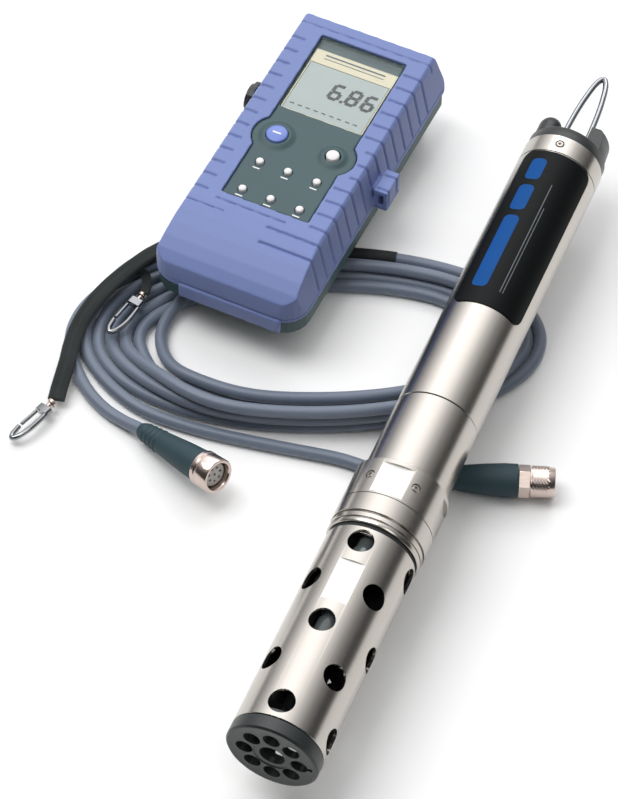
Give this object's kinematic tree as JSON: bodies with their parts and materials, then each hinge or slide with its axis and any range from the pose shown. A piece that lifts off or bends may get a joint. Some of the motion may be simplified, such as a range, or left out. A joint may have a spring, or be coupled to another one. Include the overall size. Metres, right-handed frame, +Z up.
{
  "type": "submersible water quality probe with handheld meter",
  "caption": "Submersible water quality sonde with perforated sensor guard and bail, its handheld display meter in a rubber boot, a coiled signal cable and a strap with snap hooks.",
  "frame": {"origin": "bottom centre of the box round the sonde, the meter and the strap, on the surface that everything lies on", "axes": "+Y along the sonde from its sensor guard to its lifting bail, +Z up, +X from the meter towards the sonde"},
  "size_m": [0.2741, 0.4552, 0.0671],
  "materials": {
    "brushed_steel": "brushed",
    "chrome": "polished",
    "nickel": "satin",
    "black_plastic": "matte",
    "black_rubber": "matte",
    "blue_boot": "matte",
    "blue_button": "matte",
    "case_green": "matte",
    "white_button": "satin",
    "cream_strip": "satin",
    "clear_window": "clear",
    "screen_grey": "satin",
    "board_green": "matte",
    "cell_wrap": "gloss",
    "cable_grey": "satin",
    "strap_black": "woven",
    "boot_green": "matte",
    "label_black": "satin",
    "sensor_glass": "clear"
  },
  "bodies": {
    "sonde": {"guard_o_ring": "black_rubber", "collar_nose_ring": "brushed_steel", "collar_block": "brushed_steel", "collar_screw_left": "brushed_steel", "collar_screw_right": "brushed_steel", "sensor_head_plate": "brushed_steel", "dissolved_oxygen_sensor": "black_plastic", "ph_sensor": "sensor_glass", "orp_sensor": "black_plastic", "conductivity_cell": "black_plastic", "turbidity_cell": "black_plastic", "temperature_probe": "brushed_steel", "lower_body_tube": "brushed_steel", "upper_body_tube": "brushed_steel", "tube_joiner": "black_plastic", "sonde_circuit_board": "board_green", "label_film": "label_black", "top_ring": "brushed_steel", "top_ring_screw": "brushed_steel", "top_cap": "black_plastic", "cable_receptacle": "nickel", "cable_coil": "cable_grey", "cable_socket_run": "cable_grey", "cable_plug_run": "cable_grey", "socket_boot": "boot_green", "socket_shell": "nickel", "socket_insert": "white_button", "plug_boot": "boot_green", "plug_body": "nickel"},
    "guard": {"sensor_guard": "brushed_steel", "guard_end_cap": "black_plastic"},
    "bail": {"lifting_bail": "chrome"},
    "dust_cap": {"receptacle_cap": "black_rubber"},
    "coupling_ring": {"plug_coupling_ring": "nickel"},
    "meter": {"meter_boot": "blue_boot", "meter_front_case": "case_green", "display_window": "clear_window", "lcd_module": "screen_grey", "title_strip": "cream_strip", "meter_back_case": "case_green", "battery_cell_left": "cell_wrap", "battery_cell_right": "cell_wrap", "meter_circuit_board": "board_green", "meter_socket": "black_plastic", "carry_strap": "strap_black", "hook_a_swivel": "nickel", "hook_b_swivel": "nickel"},
    "door": {"battery_door": "case_green"},
    "hook_a": {"hook_a_body": "chrome"},
    "gate_a": {"hook_a_gate": "chrome"},
    "hook_b": {"hook_b_body": "chrome"},
    "gate_b": {"hook_b_gate": "chrome"},
    "mode_button": {"mode_button": "blue_button"},
    "power_button": {"power_button": "white_button"},
    "key_1": {"key_1": "white_button"},
    "key_2": {"key_2": "white_button"},
    "key_3": {"key_3": "white_button"},
    "key_4": {"key_4": "white_button"},
    "key_5": {"key_5": "white_button"},
    "key_6": {"key_6": "white_button"}
  },
  "joints": [
    {"name": "guard_pull", "type": "slide", "parent": "sonde", "child": "guard", "axis": [0, -1, 0], "range_m": [0, 0.13]},
    {"name": "bail_swing", "type": "hinge", "parent": "sonde", "child": "bail", "pos_m": [0.09077, 0.17697, 0.04245], "axis": [1, 0, 0], "range_deg": [-50, 80]},
    {"name": "dust_cap_pull", "type": "slide", "parent": "sonde", "child": "dust_cap", "axis": [0, 1, 0], "range_m": [0, 0.02]},
    {"name": "coupling_turn", "type": "hinge", "parent": "sonde", "child": "coupling_ring", "pos_m": [0.08997, -0.03103, 0.0093], "axis": [0.9434, 0.3316, 0], "continuous": true},
    {"name": "meter_lift", "type": "slide", "parent": "sonde", "child": "meter", "axis": [0, 0, 1], "range_m": [0, 0.12]},
    {"name": "battery_door_slide", "type": "slide", "parent": "meter", "child": "door", "axis": [0.0523, 0.9986, 0], "range_m": [0, 0.06]},
    {"name": "hook_a_swivel_turn", "type": "hinge", "parent": "meter", "child": "hook_a", "pos_m": [-0.10282, -0.05942, 0.0066], "axis": [-0.3436, -0.9377, -0.0514], "continuous": true},
    {"name": "gate_a_press", "type": "hinge", "parent": "hook_a", "child": "gate_a", "pos_m": [-0.1091, -0.06792, 0.0052], "axis": [-0.2834, 0.0514, 0.9576], "range_deg": [0, 20], "stiffness_Nm_per_rad": 0.05},
    {"name": "hook_b_swivel_turn", "type": "hinge", "parent": "meter", "child": "hook_b", "pos_m": [-0.08732, 0.01808, 0.012], "axis": [-0.1974, -0.9803, 0], "continuous": true},
    {"name": "gate_b_press", "type": "hinge", "parent": "hook_b", "child": "gate_b", "pos_m": [-0.09238, 0.00869, 0.012], "axis": [0, 0, 1], "range_deg": [0, 20], "stiffness_Nm_per_rad": 0.05},
    {"name": "mode_button_press", "type": "slide", "parent": "meter", "child": "mode_button", "axis": [0, 0, -1], "range_m": [0, 0.0015], "stiffness_N_per_m": 900},
    {"name": "power_button_press", "type": "slide", "parent": "meter", "child": "power_button", "axis": [0, 0, -1], "range_m": [0, 0.0015], "stiffness_N_per_m": 900},
    {"name": "key_1_press", "type": "slide", "parent": "meter", "child": "key_1", "axis": [0, 0, -1], "range_m": [0, 0.001], "stiffness_N_per_m": 900},
    {"name": "key_2_press", "type": "slide", "parent": "meter", "child": "key_2", "axis": [0, 0, -1], "range_m": [0, 0.001], "stiffness_N_per_m": 900},
    {"name": "key_3_press", "type": "slide", "parent": "meter", "child": "key_3", "axis": [0, 0, -1], "range_m": [0, 0.001], "stiffness_N_per_m": 900},
    {"name": "key_4_press", "type": "slide", "parent": "meter", "child": "key_4", "axis": [0, 0, -1], "range_m": [0, 0.001], "stiffness_N_per_m": 900},
    {"name": "key_5_press", "type": "slide", "parent": "meter", "child": "key_5", "axis": [0, 0, -1], "range_m": [0, 0.001], "stiffness_N_per_m": 900},
    {"name": "key_6_press", "type": "slide", "parent": "meter", "child": "key_6", "axis": [0, 0, -1], "range_m": [0, 0.001], "stiffness_N_per_m": 900}
  ]
}
